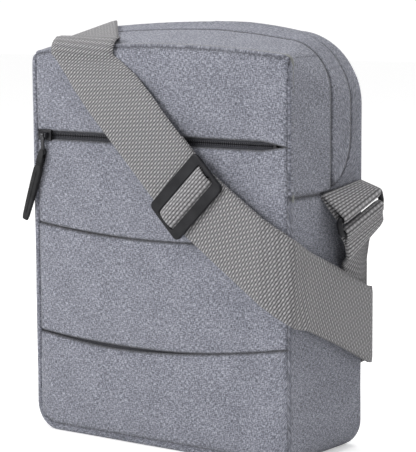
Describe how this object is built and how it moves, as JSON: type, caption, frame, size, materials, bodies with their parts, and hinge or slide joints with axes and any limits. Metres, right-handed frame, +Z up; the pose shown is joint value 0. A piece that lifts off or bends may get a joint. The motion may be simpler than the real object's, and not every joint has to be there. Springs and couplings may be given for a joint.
{
  "type": "crossbody bag",
  "caption": "Upright cloth crossbody bag with a zipped front pocket under two pleats, a zipped main compartment, and an adjustable webbing strap laid over its front.",
  "frame": {"origin": "middle of the base, on the surface that the bag stands on", "axes": "+Z up; the front with its pocket zip faces -Y; +X is to the right as the front is seen"},
  "size_m": [0.238, 0.1086, 0.2791],
  "materials": {
    "body_cloth": "heathered grey plain-weave polyester, matt",
    "binding": "grey-green binding tape folded over the seam, matt",
    "webbing": "warm grey ribbed polypropylene webbing",
    "zip_tape": "near-black woven zip tape and pleat facing",
    "zip_coil": "near-black nylon coil",
    "lining": "dark thin lining cloth",
    "black_metal": "black painted die-cast metal, satin",
    "pull_rubber": "black moulded pull, matt",
    "buckle_plastic": "black moulded acetal, slight sheen on its edges",
    "foam": "closed-cell foam sheet",
    "board": "black stiffener sheet"
  },
  "bodies": {
    "root": {"front_top_panel": "body_cloth", "front_pocket_panel": "body_cloth", "front_middle_panel": "body_cloth", "front_lower_panel": "body_cloth", "front_binding": "binding", "upper_pleat_facing": "zip_tape", "lower_pleat_facing": "zip_tape", "front_zip_tape_upper": "zip_tape", "front_zip_tape_lower": "zip_tape", "front_zip_coil": "zip_coil", "front_zip_stops": "black_metal", "pocket_divider": "lining", "left_side_panel": "body_cloth", "right_side_panel": "body_cloth", "base_panel": "body_cloth", "top_strip": "body_cloth", "left_top_strip": "body_cloth", "right_top_strip": "body_cloth", "zip_flap": "body_cloth", "main_zip_tape_front": "zip_tape", "main_zip_tape_back": "zip_tape", "main_zip_coil": "zip_coil", "back_strip": "body_cloth", "back_panel": "body_cloth", "back_binding": "binding", "back_foam": "foam", "back_lining": "lining", "slip_pocket": "lining", "side_lining": "lining", "top_lining": "lining", "base_board": "board", "left_tab": "webbing", "right_tab": "webbing", "right_ring": "buckle_plastic", "shoulder_strap": "webbing", "strap_under_layer": "webbing", "strap_fold": "webbing", "strap_return": "webbing", "ring_bight": "webbing"},
    "front_slider": {"front_zip_slider": "black_metal"},
    "front_link": {"front_pull_link": "black_metal"},
    "front_grip": {"front_pull_grip": "pull_rubber"},
    "main_slider": {"main_zip_slider": "black_metal"},
    "main_link": {"main_pull_link": "black_metal"},
    "main_grip": {"main_pull_grip": "pull_rubber"},
    "adjuster": {"tri_glide": "buckle_plastic", "adjuster_bight": "webbing"}
  },
  "joints": [
    {"name": "front_zip_slide", "type": "slide", "parent": "root", "child": "front_slider", "axis": [1, 0, 0], "range_m": [0, 0.177]},
    {"name": "front_pull_swing", "type": "hinge", "parent": "front_slider", "child": "front_link", "pos_m": [-0.093, -0.0447, 0.2013], "axis": [-1, 0, 0], "range_deg": [0, 110]},
    {"name": "front_pull_sway", "type": "hinge", "parent": "front_link", "child": "front_grip", "pos_m": [-0.093, -0.0447, 0.1903], "axis": [0, 1, 0], "range_deg": [-45, 6]},
    {"name": "main_zip_slide", "type": "slide", "parent": "root", "child": "main_slider", "axis": [0, 0, 1], "range_m": [0, 0.024]},
    {"name": "main_pull_swing", "type": "hinge", "parent": "main_slider", "child": "main_link", "pos_m": [-0.1087, 0.025, 0.18], "axis": [0, 1, 0], "range_deg": [0, 100]},
    {"name": "main_pull_sway", "type": "hinge", "parent": "main_link", "child": "main_grip", "pos_m": [-0.1087, 0.025, 0.169], "axis": [1, 0, 0], "range_deg": [-5, 20]},
    {"name": "adjuster_slide", "type": "slide", "parent": "root", "child": "adjuster", "axis": [-0.6997, 0, 0.7145], "range_m": [0, 0.055]}
  ]
}
